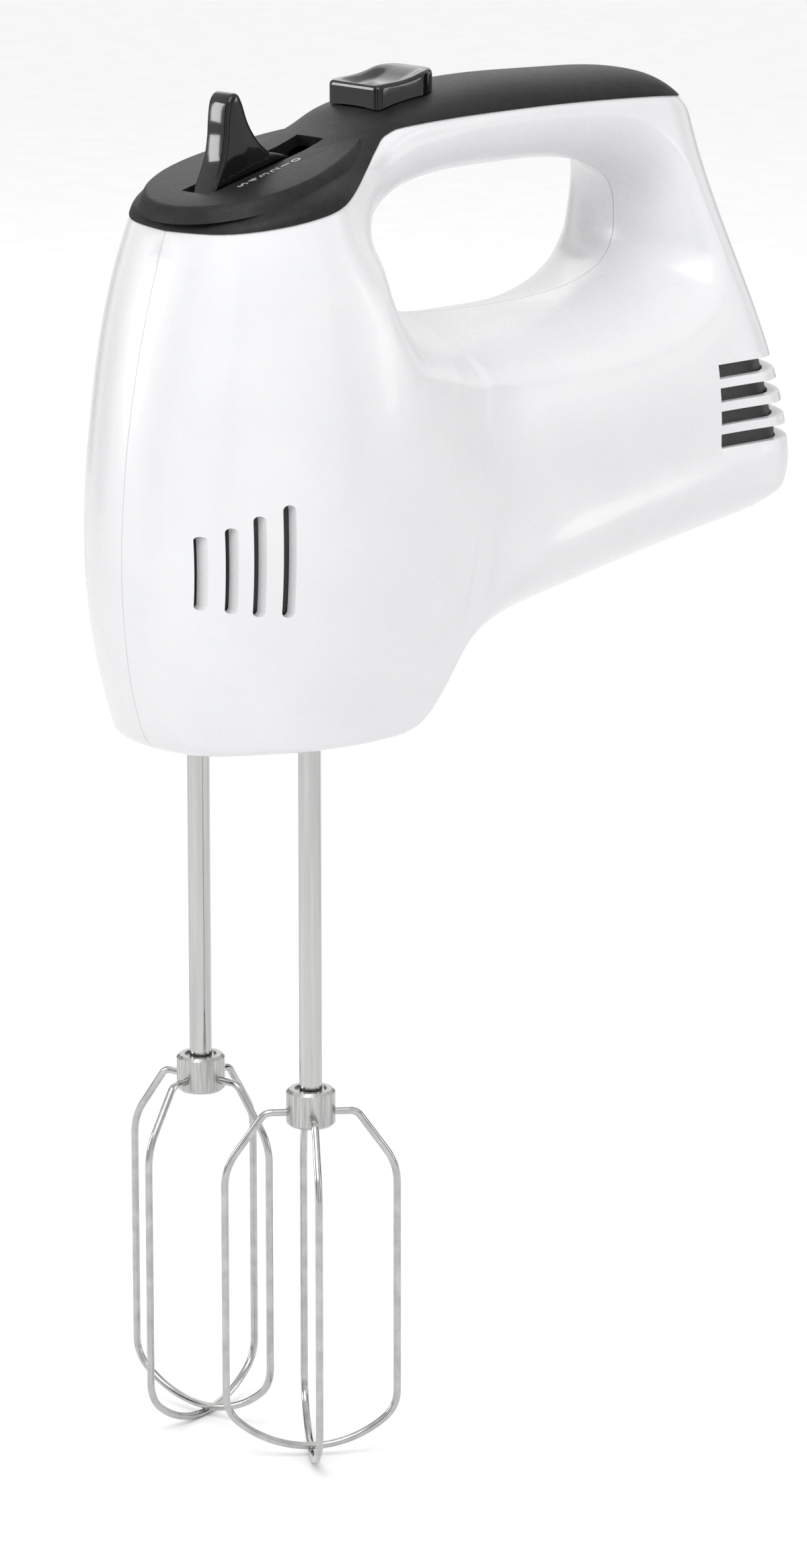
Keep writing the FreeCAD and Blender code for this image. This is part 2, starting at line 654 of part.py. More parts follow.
# ---------------------------------------------------------------- motor
AXIS = (1, 0, 0)
SHAFT_BORE = "motor_shaft_radius + running_clearance"
shaft_spot = FreeCAD.Placement(V(-79.5, 0, MOTOR_Z), turned_to(AXIS))
shaft_radius = size("motor_shaft_radius")
revolved_body("motor_shaft", [
    (0, 0), (shaft_radius - 0.4, 0), (shaft_radius, 0.4), (shaft_radius, 131.6), (shaft_radius - 0.4, 132),
    (0, 132)], shaft_spot)
sub_part("worm_end_bush", ring_at(5.0, SHAFT_BORE, 3.5, (-80, 0, MOTOR_Z), AXIS))
sub_part("front_bearing", ring_at(8.0, SHAFT_BORE, 3.5, (-40, 0, MOTOR_Z), AXIS))
sub_part("rear_bearing", ring_at(8.0, SHAFT_BORE, 5.0, (44, 0, MOTOR_Z), AXIS))


def armature_core():
    radius, slots = size("rotor_radius"), 12
    core = Part.makeCylinder(radius, 22, V(0, 0, 0))
    for k in range(slots):
        angle = 2 * math.pi * k / slots
        slot = Part.makeBox(7, 3.2, 30, V(0, -1.6, -2)).fuse(Part.makeBox(6, 1.2, 30, V(6, -0.6, -2)))
        slot.translate(V(radius - 8.5, 0, 0))
        slot.rotate(V(0, 0, 0), V(0, 0, 1), math.degrees(angle))
        core = core.cut(slot)
    core = core.cut(Part.makeCylinder(size("motor_shaft_radius"), 40, V(0, 0, -5)))
    core.rotate(V(0, 0, 0), V(0, 1, 0), 90)
    core.translate(V(size("stack_start") - 1, 0, MOTOR_Z))
    return core


def armature_windings():
    """Copper bundles in the slots, joined by an end ring at each side of the stack."""
    shape = None
    for x in (-12.0, 15.4):
        ring = Part.makeCylinder(12.6, 4.8, V(x, 0, MOTOR_Z), V(1, 0, 0)).cut(
            Part.makeCylinder(5.5, 4.8, V(x, 0, MOTOR_Z), V(1, 0, 0)))
        shape = ring if shape is None else shape.fuse(ring)
    for k in range(12):
        bar = Part.makeBox(24, 2.8, 4.4, V(-8, -1.4, 7.2))
        bar.rotate(V(0, 0, 0), V(1, 0, 0), 30 * k)
        bar.translate(V(0, 0, MOTOR_Z))
        shape = shape.fuse(bar)
    return shape.removeSplitter()


def commutator():
    drum = Part.makeCylinder(9, 11, V(25, 0, MOTOR_Z), V(1, 0, 0))
    for k in range(24):
        gap = Part.makeBox(13, 0.5, 1.5, V(24, -0.25, 8.2))
        gap.rotate(V(0, 0, 0), V(1, 0, 0), 15 * k)
        gap.translate(V(0, 0, MOTOR_Z))
        drum = drum.cut(gap)
    return drum.cut(Part.makeCylinder(size("motor_shaft_radius"), 20, V(20, 0, MOTOR_Z), V(1, 0, 0)))


def cooling_fan():
    fan = Part.makeCylinder(8, 9.5, V(-24, 0, 0), V(1, 0, 0))
    fan = fan.fuse(Part.makeCylinder(20, 1.4, V(-16, 0, 0), V(1, 0, 0)))
    for k in range(9):
        blade = Part.makeBox(8.2, 1.4, 15, V(-24, -0.7, 7))
        blade.rotate(V(0, 0, 7), V(1, 0, 0), 24)
        blade.rotate(V(0, 0, 0), V(1, 0, 0), 40 * k)
        fan = fan.fuse(blade)
    fan = fan.cut(Part.makeCylinder(size("motor_shaft_radius"), 40, V(-40, 0, 0), V(1, 0, 0)))
    fan.translate(V(0, 0, MOTOR_Z))
    return fan.removeSplitter()


sub_part("armature_core", feature(armature_core()))
sub_part("armature_windings", feature(armature_windings()))
sub_part("commutator", feature(commutator()))
sub_part("cooling_fan", feature(cooling_fan()))


def coil_windows(inner, outer, length, x):
    """Two arcs of a ring, one each side of the rotor."""
    ring = Part.makeCylinder(outer, length, V(x, 0, MOTOR_Z), V(1, 0, 0)).cut(
        Part.makeCylinder(inner, length, V(x, 0, MOTOR_Z), V(1, 0, 0)))
    return ring.cut(Part.makeBox(length, 60, 60, V(x, -30, MOTOR_Z + 11))).cut(
        Part.makeBox(length, 60, 60, V(x, -30, MOTOR_Z - 71)))


def stator_core():
    start, length = size("stack_start"), size("stack_length")
    core = Part.makeBox(length, 56, 46, V(start, -28, MOTOR_Z - 23))
    core = core.makeFillet(9, [e for e in core.Edges if abs(e.tangentAt(0).x) > 0.99])
    bore = size("rotor_radius") + size("air_gap")
    core = core.cut(Part.makeCylinder(bore, length, V(start, 0, MOTOR_Z), V(1, 0, 0)))
    return core.cut(coil_windows(bore, 21.6, length, start)).removeSplitter()


def field_coils():
    return coil_windows(16.6, 21.4, size("stack_length") + 9, size("stack_start") - 4.5)


sub_part("stator_core", feature(stator_core()))
sub_part("field_coils", feature(field_coils()))


def rear_bracket():
    """A plate for the rear bearing on two arms that reach forward to the stator."""
    plate = Part.makeBox(5, 22, 42, V(44, -11, MOTOR_Z - 21))
    for z in (MOTOR_Z + 18, MOTOR_Z - 21):
        plate = plate.fuse(Part.makeBox(31, 12, 3, V(14, -6, z)))
    return plate.cut(Part.makeCylinder(8, 20, V(40, 0, MOTOR_Z), V(1, 0, 0))).removeSplitter()


sub_part("rear_bearing_bracket", feature(rear_bracket()))
BRUSH_X = 30.5
holders, brushes, springs = [], [], []
for word, side in SIDES:
    span = sorted((side * 10.5, side * 25.0))
    outer = box((BRUSH_X - 4, BRUSH_X + 4), span, (MOTOR_Z - 4, MOTOR_Z + 4))
    inner = box((BRUSH_X - 2.9, BRUSH_X + 2.9), sorted((side * 10.0, side * 23.8)),
                (MOTOR_Z - 2.9, MOTOR_Z + 2.9))
    holders.append(cut(outer, inner))
    reach = sorted((side * 9.2, side * 17.0))
    brushes.append(box((BRUSH_X - 2.7, BRUSH_X + 2.7), reach, (MOTOR_Z - 2.7, MOTOR_Z + 2.7)))
    spring = coil_spring(0.35, 1.9, 5, 5.6)
    spring.rotate(V(0, 0, 0), V(1, 0, 0), -90 * side)
    spring.translate(V(BRUSH_X, side * 17.55, MOTOR_Z))
    springs.append(feature(spring))
sub_part("brush_holders", group(*holders))
sub_part("carbon_brushes", group(*brushes))
sub_part("brush_springs", group(*springs))

# ---------------------------------------------------------------- electrical parts and air guides
board = box((56, 84), (-14, 14), (259, 260.6))
sub_part("control_board", board)
sub_part("suppression_capacitor", box((60, 68), (-9, 9), (261, 272)))
sub_part("cord_inlet_bush", cut(
    fuse(cylinder(8.6, 10.5, (83.5, 0, 271), AXIS), cylinder(9.6, 1.6, (83.5, 0, 271), AXIS)),
    cylinder("cord_bore_radius", 30, (75, 0, 271), AXIS)))

GUIDE_GAP, GUIDE_THICKNESS = 0.4, 1.0
guide_skin = skin_half(WALL + GUIDE_GAP).cut(skin_half(WALL + GUIDE_GAP + GUIDE_THICKNESS))
nose_guide = guide_skin.common(Part.makeBox(26, 38, 38, V(-96, -45, 208)))
tail_guide = guide_skin.common(Part.makeBox(50, 60, 27, V(60, -60, 233)))
sub_part("left_air_guide", feature(nose_guide))
sub_part("right_air_guide", feature(mirrored(nose_guide)))
sub_part("rear_grille", feature(tail_guide.fuse(mirrored(tail_guide)).removeSplitter()))


# ---------------------------------------------------------------- housing screws
def housing_screw(x, z):
    head = cylinder(2.9, 2.2, (x, SCREW_HEAD_Y + 0.1, z), (0, 1, 0))
    shank = cylinder(1.5, 12.5 + SCREW_HEAD_Y, (x, -12, z), (0, 1, 0))
    cross = [box((x - a, x + a), (SCREW_HEAD_Y + 1.3, SCREW_HEAD_Y + 3), (z - b, z + b))
             for a, b in ((1.7, 0.35), (0.35, 1.7))]
    return cut(fuse(head, shank), *cross)


sub_part("housing_screws", group(*[housing_screw(x, z) for x, z in SCREW_PLACES]))


# ---------------------------------------------------------------- beaters
WIRE = size("wire_radius")
CAGE = size("cage_radius")
WIRE_START_RADIUS = 4.2
CORNER_RADIUS, BOTTOM_RADIUS = 9.0, 27.0


def rounded_path(points, radii):
    """Straight runs joined by tangent arcs; radii has one entry per inner corner."""
    edges, last = [], points[0]
    for before, corner, after, radius in zip(points, points[1:], points[2:], radii):
        back, ahead = (before - corner).normalize(), (after - corner).normalize()
        half = back.getAngle(ahead) / 2
        trim = radius / math.tan(half)
        start, end = corner + back * trim, corner + ahead * trim
        middle = corner + (back + ahead).normalize() * (radius / math.sin(half) - radius)
        edges.append(Part.makeLine(last, start))
        edges.append(Part.Arc(start, middle, end).toShape())
        last = end
    edges.append(Part.makeLine(last, points[-1]))
    return Part.Wire(edges)


def wire_loop(base):
    """One wire in its own XZ plane: out of the collar, down, round the bottom and up again."""
    exit_z = size("wire_exit_z")
    corner_x = CAGE - CORNER_RADIUS
    drop = math.sqrt((BOTTOM_RADIUS - CORNER_RADIUS) ** 2 - corner_x ** 2)
    corner, middle = V(corner_x, 0, base + BOTTOM_RADIUS - drop), V(0, 0, base + BOTTOM_RADIUS)
    out = (corner - middle).normalize()
    join, slant = middle + out * BOTTOM_RADIUS, (out + V(1, 0, 0)).normalize()
    points = [V(WIRE_START_RADIUS, 0, exit_z), V(11.0, 0, exit_z), V(CAGE, 0, 73.8), V(CAGE, 0, corner.z)]
    side = rounded_path(points, [3.0, 14.0]).Edges
    side.append(Part.Arc(points[-1], corner + slant * CORNER_RADIUS, join).toShape())
    low = Part.Arc(join, V(0, 0, base), V(-join.x, 0, join.z)).toShape()
    other = [edge.mirror(V(0, 0, 0), V(1, 0, 0)) for edge in side]
    path = Part.Wire(Part.sortEdges(side + [low] + other)[0])
    ring = Part.Wire([Part.Circle(points[0], V(1, 0, 0), WIRE).toShape()])
    return path.makePipeShell([ring], True, True)


LOOP_ANGLES = {"left": 53.0, "right": 11.0}
for word, side in SIDES:
    y = side * HALF_SPACING
    base = size("collar_base")
    shaft = cylinder("beater_shaft_radius", "beater_shaft_top - collar_base", (BEATER_X, y, base))
    wings = box((BEATER_X - 0.7, BEATER_X + 0.7), (y - 4.4, y + 4.4), (182.4, 187.8))
    sub_part(word + "_beater_shaft", fuse(shaft, wings))
    angles = [LOOP_ANGLES[word] + 90 * k for k in range(4)]
    wire_holes = []
    for angle in angles:
        out = (math.cos(math.radians(angle)), math.sin(math.radians(angle)), 0)
        at = (BEATER_X + WIRE_START_RADIUS * out[0], y + WIRE_START_RADIUS * out[1], size("wire_exit_z"))
        wire_holes.append(cylinder("wire_radius", 5, at, out))
    blank = fuse(
        cone("collar_radius - 0.7", "collar_radius", 0.7, (BEATER_X, y, base)),
        cylinder("collar_radius", "collar_height - 1.4", (BEATER_X, y, base + 0.7)),
        cone("collar_radius", "collar_radius - 0.7", 0.7, (BEATER_X, y, base + size("collar_height") - 0.7)))
    bore = cylinder("beater_shaft_radius", 20, (BEATER_X, y, 80))
    recess = cylinder(3.9, 2, (BEATER_X, y, base + size("collar_height") - 0.6))
    sub_part(word + "_beater_collar", cut(blank, bore, recess, *wire_holes))
    for letter, base, angle in (("outer", WIRE, angles[0]), ("inner", 3 * WIRE + 0.1, angles[1])):
        loop = feature(wire_loop(base))
        loop.Placement = FreeCAD.Placement(V(BEATER_X, y, 0), FreeCAD.Rotation(V(0, 0, 1), angle))
        sub_part("%s_beater_%s_wire" % (word, letter), loop)


# ---------------------------------------------------------------- check and write
DOC.recompute()
for obj in DOC.Objects:
    if {"Invalid", "Error"} & set(obj.State):
        raise RuntimeError("%s (%s) failed: %s" % (obj.Name, obj.Label, obj.State))
for obj in PARTS:
    if obj.Shape.isNull() or not obj.Shape.isValid() or not obj.Shape.Solids:
        raise RuntimeError("%s has no valid solid" % obj.Label)

os.makedirs("parts", exist_ok=True)
for obj in PARTS:
    obj.Shape.exportStep(os.path.join("parts", obj.Label + ".step"))
print("wrote %d parts" % len(PARTS))
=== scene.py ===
import math

import bmesh
import bpy
from mathutils import Matrix, Vector


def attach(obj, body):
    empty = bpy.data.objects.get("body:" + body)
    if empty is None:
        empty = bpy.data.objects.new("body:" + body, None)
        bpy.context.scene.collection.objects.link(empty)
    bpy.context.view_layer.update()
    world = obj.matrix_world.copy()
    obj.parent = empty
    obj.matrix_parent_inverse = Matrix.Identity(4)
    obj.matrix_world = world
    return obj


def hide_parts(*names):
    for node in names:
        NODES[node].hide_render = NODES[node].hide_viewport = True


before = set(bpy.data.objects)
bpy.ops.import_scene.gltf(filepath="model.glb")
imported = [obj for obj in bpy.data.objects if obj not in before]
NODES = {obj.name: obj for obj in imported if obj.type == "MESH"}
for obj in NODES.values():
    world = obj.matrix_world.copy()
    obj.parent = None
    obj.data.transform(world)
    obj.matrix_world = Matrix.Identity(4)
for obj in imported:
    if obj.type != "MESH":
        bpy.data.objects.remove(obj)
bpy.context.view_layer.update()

MM = 0.001
COLLECTION = bpy.context.scene.collection

# ---------------------------------------------------------------- camera
CAMERA_TARGET = Vector((-0.0090, 0.0, 0.1565))
CAMERA_AZIMUTH, CAMERA_ELEVATION = math.radians(-43.0), math.radians(14.0)
CAMERA_DISTANCE, SENSOR_WIDTH, LENS = 1.5, 36.0, 140.82


def direction(azimuth, elevation):
    return Vector((math.sin(azimuth) * math.cos(elevation), -math.cos(azimuth) * math.cos(elevation),
                   math.sin(elevation)))


def link(obj):
    COLLECTION.objects.link(obj)
    return obj


def aim(obj, at, place):
    obj.location = place
    obj.rotation_mode = "QUATERNION"
    obj.rotation_quaternion = (at - place).to_track_quat("-Z", "Y")
    return obj


camera_data = bpy.data.cameras.new("camera")
camera_data.sensor_width, camera_data.lens = SENSOR_WIDTH, LENS
camera_data.clip_start, camera_data.clip_end = 0.01, 50.0
camera = link(bpy.data.objects.new("camera", camera_data))
aim(camera, CAMERA_TARGET, CAMERA_TARGET + CAMERA_DISTANCE * direction(CAMERA_AZIMUTH, CAMERA_ELEVATION))
bpy.context.scene.camera = camera


# ---------------------------------------------------------------- materials
def material(name, dark, light, rough, grain, metallic=0.0, coat=0.0, specular=0.5, stretch=(1, 1, 1),
             patches=45.0):
    """A principled surface whose colour drifts between dark and light and whose roughness drifts between
    the two values of rough. grain is (size, height) in millimetres; stretch drags the pattern out."""
    made = bpy.data.materials.new(name)
    made.use_nodes = True
    tree = made.node_tree
    nodes, links = tree.nodes, tree.links
    shader = nodes["Principled BSDF"]
    shader.inputs["Metallic"].default_value = metallic
    shader.inputs["Coat Weight"].default_value = coat
    shader.inputs["Coat Roughness"].default_value = 0.06
    shader.inputs["Specular IOR Level"].default_value = specular
    place = nodes.new("ShaderNodeTexCoord")
    drag = nodes.new("ShaderNodeMapping")
    drag.inputs["Scale"].default_value = stretch
    links.new(place.outputs["Object"], drag.inputs["Vector"])

    def noise(scale, detail):
        made_noise = nodes.new("ShaderNodeTexNoise")
        made_noise.inputs["Scale"].default_value = scale
        made_noise.inputs["Detail"].default_value = detail
        links.new(drag.outputs["Vector"], made_noise.inputs["Vector"])
        return made_noise

    drift = noise(patches, 4.0)
    ramp = nodes.new("ShaderNodeValToRGB")
    ramp.color_ramp.elements[0].position, ramp.color_ramp.elements[1].position = 0.35, 0.65
    ramp.color_ramp.elements[0].color = (*dark, 1.0)
    ramp.color_ramp.elements[1].color = (*light, 1.0)
    links.new(drift.outputs["Fac"], ramp.inputs["Fac"])
    links.new(ramp.outputs["Color"], shader.inputs["Base Color"])
    fine = noise(1000.0 / grain[0], 3.0)
    spread = nodes.new("ShaderNodeMapRange")
    spread.inputs["From Min"].default_value, spread.inputs["From Max"].default_value = 0.3, 0.7
    spread.inputs["To Min"].default_value, spread.inputs["To Max"].default_value = rough
    links.new(fine.outputs["Fac"], spread.inputs["Value"])
    links.new(spread.outputs["Result"], shader.inputs["Roughness"])
    bump = nodes.new("ShaderNodeBump")
    bump.inputs["Strength"].default_value = 0.6
    bump.inputs["Distance"].default_value = grain[1] * MM
    links.new(fine.outputs["Fac"], bump.inputs["Height"])
    links.new(bump.outputs["Normal"], shader.inputs["Normal"])
    return made


ALONG_Z = (1, 1, 0.03)
ALONG_X = (0.03, 1, 1)
LOOKS = {
    "white": material("white_gloss_plastic", (0.665, 0.668, 0.677), (0.69, 0.693, 0.701), (0.26, 0.30),
                      (3.0, 0.0004), coat=0.12),
    "cover": material("charcoal_grained_plastic", (0.009, 0.008, 0.0085), (0.014, 0.0125, 0.013),
                      (0.40, 0.56), (0.28, 0.05), specular=0.24, patches=400.0),
    "gloss": material("gloss_black_plastic", (0.002, 0.002, 0.0025), (0.004, 0.004, 0.0045), (0.07, 0.12),
                      (1.4, 0.002), coat=0.3, specular=0.3),
    # Real black plastic for most parts; on the air guides behind the vents this black is painted shade,
    # standing in for the shade inside the vents.
    "dark": material("dark_plastic_and_vent_shade", (0.010, 0.010, 0.011), (0.022, 0.022, 0.024), (0.38, 0.55),
                     (0.35, 0.03)),
    "grey": material("grey_nylon", (0.26, 0.26, 0.27), (0.34, 0.34, 0.34), (0.35, 0.5), (0.5, 0.02)),
    "natural": material("natural_acetal", (0.72, 0.69, 0.60), (0.80, 0.77, 0.69), (0.3, 0.42), (0.6, 0.01)),
    "steel": material("drawn_steel", (0.44, 0.44, 0.435), (0.52, 0.52, 0.51), (0.10, 0.20), (0.5, 0.004),
                      metallic=1.0, stretch=ALONG_Z, patches=700.0),
    "brushed": material("brushed_steel", (0.36, 0.36, 0.355), (0.54, 0.54, 0.53), (0.22, 0.38), (0.14, 0.012),
                        metallic=1.0, stretch=ALONG_Z, patches=2500.0),
    "wire": material("steel_wire", (0.40, 0.40, 0.395), (0.50, 0.50, 0.49), (0.14, 0.22), (2.5, 0.004),
                     metallic=1.0, patches=300.0),
    "shaft": material("ground_steel", (0.50, 0.50, 0.50), (0.62, 0.62, 0.61), (0.18, 0.3), (0.2, 0.006),
                      metallic=1.0, stretch=ALONG_X, patches=1200.0),
    "laminated": material("laminated_iron", (0.10, 0.10, 0.10), (0.34, 0.34, 0.35), (0.4, 0.6), (0.3, 0.04),
                          metallic=0.9, stretch=(1, 0.02, 0.02), patches=1400.0),
    "copper": material("enamelled_copper", (0.42, 0.15, 0.06), (0.66, 0.27, 0.12), (0.25, 0.4), (0.4, 0.08),
                       metallic=0.8, stretch=ALONG_X, patches=1500.0),
    "bronze": material("sintered_bronze", (0.36, 0.22, 0.10), (0.50, 0.32, 0.15), (0.4, 0.6), (0.2, 0.02),
                       metallic=0.9, patches=1800.0),
    "carbon": material("brush_carbon", (0.015, 0.015, 0.016), (0.04, 0.04, 0.042), (0.5, 0.7), (0.2, 0.02)),
    "board": material("green_board", (0.02, 0.10, 0.04), (0.04, 0.17, 0.07), (0.3, 0.45), (0.4, 0.01)),
    "yellow": material("capacitor_case", (0.60, 0.42, 0.05), (0.72, 0.52, 0.09), (0.3, 0.42), (0.6, 0.01)),
    "print": material("pale_grey_print", (0.36, 0.36, 0.37), (0.46, 0.46, 0.47), (0.4, 0.5), (0.3, 0.005)),
}

NODE_LOOKS = {
    "white": ["left_housing_shell", "right_housing_shell"],
    "cover": ["top_cover"],
    "gloss": ["speed_lever", "eject_button"],
    # The air guides are black as painted shade, so that the vents read dark inside; the other parts here are
    # real black plastic.
    "dark": ["left_air_guide", "right_air_guide", "rear_grille", "cord_inlet_bush", "brush_holders",
             "speed_switch", "ejector_slider"],
    "grey": ["gearbox_frame", "ejector_yoke", "rear_bearing_bracket", "cooling_fan", "left_push_pin",
             "right_push_pin"],
    "natural": ["left_worm_wheel", "right_worm_wheel"],
    "steel": ["left_beater_shaft", "right_beater_shaft"],
    "brushed": ["left_beater_collar", "right_beater_collar", "left_spindle", "right_spindle",
                "housing_screws", "lever_pivot_pin"],
    "wire": ["left_beater_outer_wire", "left_beater_inner_wire", "right_beater_outer_wire",
             "right_beater_inner_wire", "yoke_return_spring", "brush_springs"],
    "shaft": ["motor_shaft", "worm"],
    "laminated": ["armature_core", "stator_core"],
    "copper": ["armature_windings", "field_coils", "commutator", "switch_contacts"],
    "bronze": ["lower_spindle_bushes", "upper_spindle_bushes", "worm_end_bush", "front_bearing",
               "rear_bearing"],
    "carbon": ["carbon_brushes"],
    "board": ["control_board"],
    "yellow": ["suppression_capacitor"],
}


def paint(obj, look):
    obj.data.materials.clear()
    obj.data.materials.append(LOOKS[look])
    return obj


for look, names in NODE_LOOKS.items():
    for name in names:
        paint(NODES[name], look)


# ---------------------------------------------------------------- mesh helpers (millimetres in, metres out)
SHARP_ANGLE = math.radians(32)
WELD = 1e-6


def new_object(name, points, faces, look):
    mesh = bpy.data.meshes.new(name)
    mesh.from_pydata([Vector(p) * MM for p in points], [], faces)
    mesh.validate()
    obj = link(bpy.data.objects.new(name, mesh))
    paint(obj, look)
    return shaded(obj)


def shaded(obj):
    """Outward normals, smooth faces, and sharp edges where the surface really turns."""
    work = bmesh.new()
    work.from_mesh(obj.data)
    bmesh.ops.remove_doubles(work, verts=work.verts, dist=WELD)
    bmesh.ops.recalc_face_normals(work, faces=work.faces)
    work.to_mesh(obj.data)
    work.free()
    obj.data.shade_smooth()
    obj.data.set_sharp_from_angle(angle=SHARP_ANGLE)
    return obj


def ring_faces(rows, columns):
    """Quads between rings of as many points as there are columns."""
    return [(r * columns + c, r * columns + (c + 1) % columns, (r + 1) * columns + (c + 1) % columns,
             (r + 1) * columns + c) for r in range(rows - 1) for c in range(columns)]


def loft(name, rings, look, closed_tube=False, strip_cap=False):
    """A skin over rings of equally many points, capped at both ends, or joined end to end as a tube.
    A strip cap joins each point of the last ring to the one opposite it."""
    count = len(rings[0])
    points = [p for ring in rings for p in ring]
    faces = ring_faces(len(rings), count)
    last = (len(rings) - 1) * count
    if closed_tube:
        faces += [(last + c, last + (c + 1) % count, (c + 1) % count, c) for c in range(count)]
    elif strip_cap:
        faces += [tuple(range(count))]
        faces += [(last + k, last + k + 1, last + count - 2 - k, last + count - 1 - k)
                  for k in range(count // 2 - 1)]
    else:
        faces += [tuple(range(count)), tuple(range(last, last + count))]
    return new_object(name, points, faces, look)


def prism(name, outline, start, end, axis=1):
    """An outline of (x, z) points run along y, or of (x, y) points run along z."""
    if axis == 1:
        rings = [[(x, d, z) for x, z in outline] for d in (start, end)]
    else:
        rings = [[(x, y, d) for x, y in outline] for d in (start, end)]
    return loft(name, rings, "dark")


def stadium(x0, z0, x1, z1, radius, steps=10):
    """Outline of a round-ended bar between two centres."""
    angle = math.atan2(z1 - z0, x1 - x0)
    points = []
    for centre, first in (((x1, z1), angle - math.pi / 2), ((x0, z0), angle + math.pi / 2)):
        for k in range(steps + 1):
            turn = first + math.pi * k / steps
            points.append((centre[0] + radius * math.cos(turn), centre[1] + radius * math.sin(turn)))
    return points


def circle(x, z, radius, steps=32):
    return [(x + radius * math.cos(2 * math.pi * k / steps), z + radius * math.sin(2 * math.pi * k / steps))
            for k in range(steps)]


def carve(obj, tools, operation="DIFFERENCE"):
    """Applies each tool to obj as a boolean and removes the tools."""
    for tool in tools:
        step = obj.modifiers.new("carve", "BOOLEAN")
        step.operation, step.object, step.solver = operation, tool, "MANIFOLD"
    bpy.context.view_layer.update()
    carved = bpy.data.meshes.new_from_object(obj.evaluated_get(bpy.context.evaluated_depsgraph_get()))
    obj.modifiers.clear()
    obj.data = carved
    look = obj.data.materials[0]
    obj.data.materials.clear()
    obj.data.materials.append(look)
    for polygon in obj.data.polygons:
        polygon.material_index = 0
    for tool in tools:
        bpy.data.objects.remove(tool)
    return shaded(obj)


# ---------------------------------------------------------------- housing skin, as in the CAD, but finer
WALL = 2.3
NOSE_FRONT_X, NOSE_FRONT_Z = -98.5, 221.0
TAIL_X, TAIL_Z = 98.5, 230.0
NOSE_CENTRE_X, TAIL_ROUND, HANDLE_HALF_WIDTH = -50.0, 16.0, 17.5
HOLE_CENTRE, HOLE_HALF, HOLE_POWER = (16.8, 289.4), (45.0, 17.4), 2.9
NOSE_POWER = 2.0, 2.25
EDGE_POWER, DISH_POWER = 2.3, 1.6
OUTER_ROWS, MIDDLE_ROWS, DISH_ROWS = 22, 5, 22
FINER = 6


def front_x(z):
    rise = z - NOSE_FRONT_Z
    return NOSE_FRONT_X + (14.2 * (rise / 79) ** 2 if rise > 0 else 6.5 * (rise / 41) ** 2)


def tail_x(z):
    rise = z - TAIL_Z
    return TAIL_X - (0.236 * rise ** 2 / (rise + 6) if rise > 0 else 0.04 * rise ** 2)


def smooth(u):
    u = min(1.0, max(0.0, u))
    return u * u * (3 - 2 * u)


CREASE = [(-40, 213.5), (-22, 216.5), (7, 221.8), (33, 226.8), (61, 231.2), (77, 233.6), (100, 236.5)]
CREASE_DEPTH, CREASE_STEP, CREASE_FADE = 1.15, 2.2, 42.0


def between(table, x):
    for (xa, za), (xb, zb) in zip(table, table[1:]):
        if x <= xb:
            return za + (zb - za) * (x - xa) / (xb - xa)
    return table[-1][1]


def crease(x, z):
    """How far the flank is sunk above the line along the belly."""
    above = z - between(CREASE, x)
    along = smooth((x + 34) / 30) * smooth((88 - x) / 22)
    return CREASE_DEPTH * along * smooth(above / CREASE_STEP + 0.5) * (1 - smooth(above / CREASE_FADE))


def half_width(x, z, inset):
    if z < 235:
        nose = 42.0 - 8.0 * ((235 - z) / 57) ** 2
    else:
        nose = 42.0 - 12.0 * ((z - 235) / 72) ** 2
    rear = 38.0 - (38.0 - HANDLE_HALF_WIDTH) * smooth((z - 238) / 84) ** 1.1
    if z < 232:
        rear = 38.0 - ((232 - z) / 30) ** 2
    high = smooth((z - 272) / 30)
    start, length = -48 - 13 * high, 46 - 14 * high
    mix = smooth((x - start) / length)
    width = (1 - mix) * nose + mix * rear - inset - crease(x, z)
    front, tail = front_x(z) + inset, tail_x(z) - inset
    if x < NOSE_CENTRE_X:
        power = NOSE_POWER[0] + (NOSE_POWER[1] - NOSE_POWER[0]) * smooth((z - 250) / 50)
        share = min(1.0, (NOSE_CENTRE_X - x) / (NOSE_CENTRE_X - front))
        width *= (1 - share ** power) ** (1 / power)
    reach = TAIL_ROUND - 0.3 * inset
    if x > tail - reach:
        width *= math.sqrt(max(0.0, 1 - ((x - tail + reach) / reach) ** 2))
    return width


def on_front(z):
    return (front_x(z), z)


def on_tail(z):
    return (tail_x(z), z)


